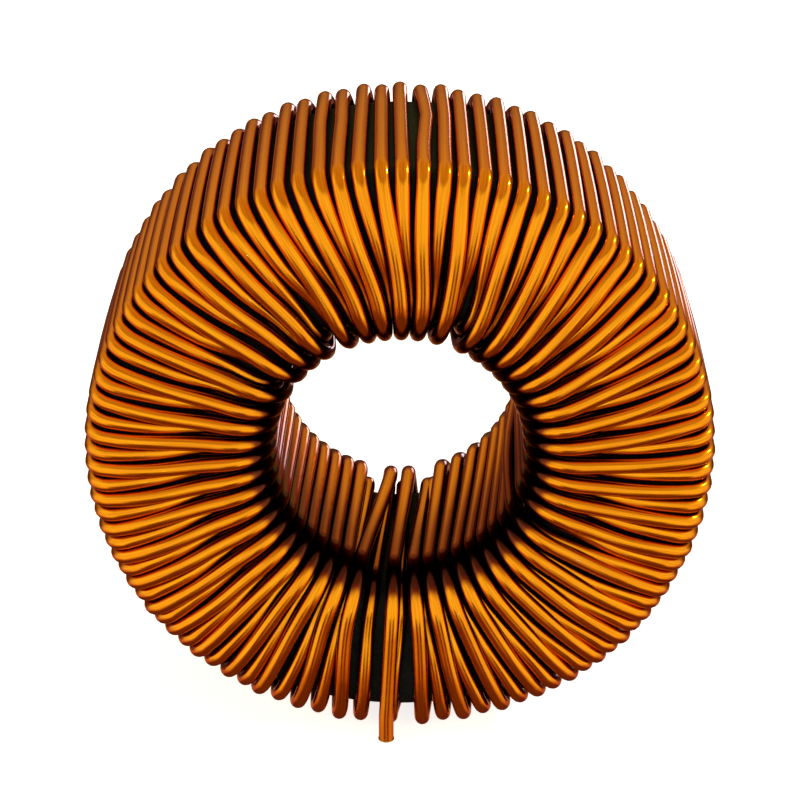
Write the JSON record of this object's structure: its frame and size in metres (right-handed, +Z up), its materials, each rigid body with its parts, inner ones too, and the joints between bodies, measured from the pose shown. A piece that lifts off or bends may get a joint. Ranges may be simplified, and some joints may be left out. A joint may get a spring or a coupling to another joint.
{
  "type": "toroidal inductor",
  "caption": "Upright ring-shaped inductor: a black powder core wound all round with amber enamelled copper wire, two layers deep in the bore, with two solder-coated ends.",
  "frame": {"origin": "midway between the two wire ends, on the seating plane, level with the lowest turns of the winding", "axes": "+Z up, away from the board; Y along the ring's axis, with the front face, where the wire starts, towards -Y; +X to the right seen from the front"},
  "size_m": [0.0492, 0.023, 0.0532],
  "materials": {
    "core_coating": "matt black epoxy coating, faintly grainy, over pressed sendust powder",
    "enamelled_copper": "bright copper wire under a glossy clear amber enamel that goes dark red-brown at grazing angles",
    "solder": "satin solder coating on the stripped wire end"
  },
  "bodies": {
    "root": {"core": "core_coating", "winding": "enamelled_copper", "start_end": "solder", "finish_end": "solder"}
  },
  "joints": []
}
